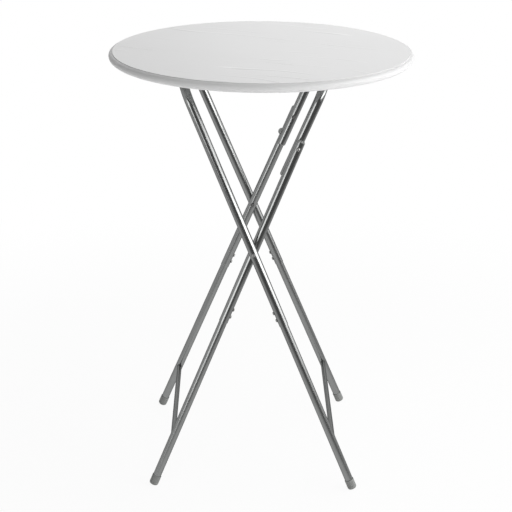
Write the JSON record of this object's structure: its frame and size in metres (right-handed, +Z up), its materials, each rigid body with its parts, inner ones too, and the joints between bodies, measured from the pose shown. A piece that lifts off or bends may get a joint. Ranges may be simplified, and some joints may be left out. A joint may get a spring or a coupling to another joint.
{
  "type": "folding bar table",
  "caption": "Tall round bar table that folds flat: a moulded top on two crossed tube frames with pivots, a knee joint and foot caps.",
  "frame": {"origin": "on the floor under the middle of the round top, table open and standing", "axes": "+Z up; +X and -X the way the crossed legs spread, the outer frame's feet at +X; +Y to the far side, where the latch tab is"},
  "size_m": [0.772, 0.772, 1.1],
  "materials": {
    "top_plastic": "fine moulded wood-grain texture, satin",
    "frame_paint": "metallic grey powder coat, satin",
    "grey_plastic": "matte",
    "light_plastic": "matte",
    "zinc_steel": "zinc plated"
  },
  "bodies": {
    "top": {"tabletop": "top_plastic", "outer_bracket_near": "zinc_steel", "outer_bracket_far": "zinc_steel", "inner_bracket_near": "zinc_steel", "inner_bracket_far": "zinc_steel", "outer_bar_seat_near": "grey_plastic", "outer_bar_seat_far": "grey_plastic", "inner_bar_seat_near": "grey_plastic", "inner_bar_seat_far": "grey_plastic", "bracket_screws": "zinc_steel"},
    "outer_frame": {"outer_upper_frame": "frame_paint", "outer_lower_leg_near": "frame_paint", "outer_lower_leg_far": "frame_paint", "outer_crossbar": "frame_paint", "outer_leg_screws": "zinc_steel", "outer_leg_nuts": "zinc_steel", "outer_foot_near": "grey_plastic", "outer_foot_far": "grey_plastic", "crossing_bolts": "zinc_steel", "crossing_washers": "zinc_steel"},
    "inner_upper": {"inner_upper_frame": "frame_paint", "tail_plugs": "grey_plastic"},
    "inner_lower": {"inner_mid_leg_near": "frame_paint", "inner_mid_leg_far": "frame_paint", "mid_leg_plugs": "grey_plastic", "inner_lower_leg_near": "frame_paint", "inner_lower_leg_far": "frame_paint", "inner_crossbar": "frame_paint", "inner_leg_screws": "zinc_steel", "inner_leg_nuts": "zinc_steel", "inner_foot_near": "grey_plastic", "inner_foot_far": "grey_plastic", "knee_bolts": "zinc_steel", "knee_washers": "zinc_steel", "knee_nuts": "zinc_steel", "crossing_nuts": "zinc_steel", "latch_rivet": "zinc_steel"},
    "latch": {"knee_latch": "light_plastic"}
  },
  "joints": [
    {"name": "outer_fold", "type": "hinge", "parent": "top", "child": "outer_frame", "pos_m": [-0.1946, 0, 1.052], "axis": [0, -1, 0], "range_deg": [0, 62]},
    {"name": "inner_upper_fold", "type": "hinge", "parent": "top", "child": "inner_upper", "pos_m": [0.1598, 0, 1.052], "axis": [0, -1, 0], "range_deg": [-65.3, 0]},
    {"name": "knee_fold", "type": "hinge", "parent": "inner_upper", "child": "inner_lower", "pos_m": [0.08945, 0, 0.88904], "axis": [0, -1, 0], "range_deg": [0, 169.8]},
    {"name": "latch_turn", "type": "hinge", "parent": "inner_lower", "child": "latch", "pos_m": [0.06873, 0.1748, 0.83917], "axis": [0, -1, 0], "range_deg": [0, 20]}
  ],
  "couplings": [
    {"joint": "inner_upper_fold", "follows": "outer_fold", "ratio": -1.0526},
    {"joint": "knee_fold", "follows": "outer_fold", "ratio": 2.7379}
  ]
}
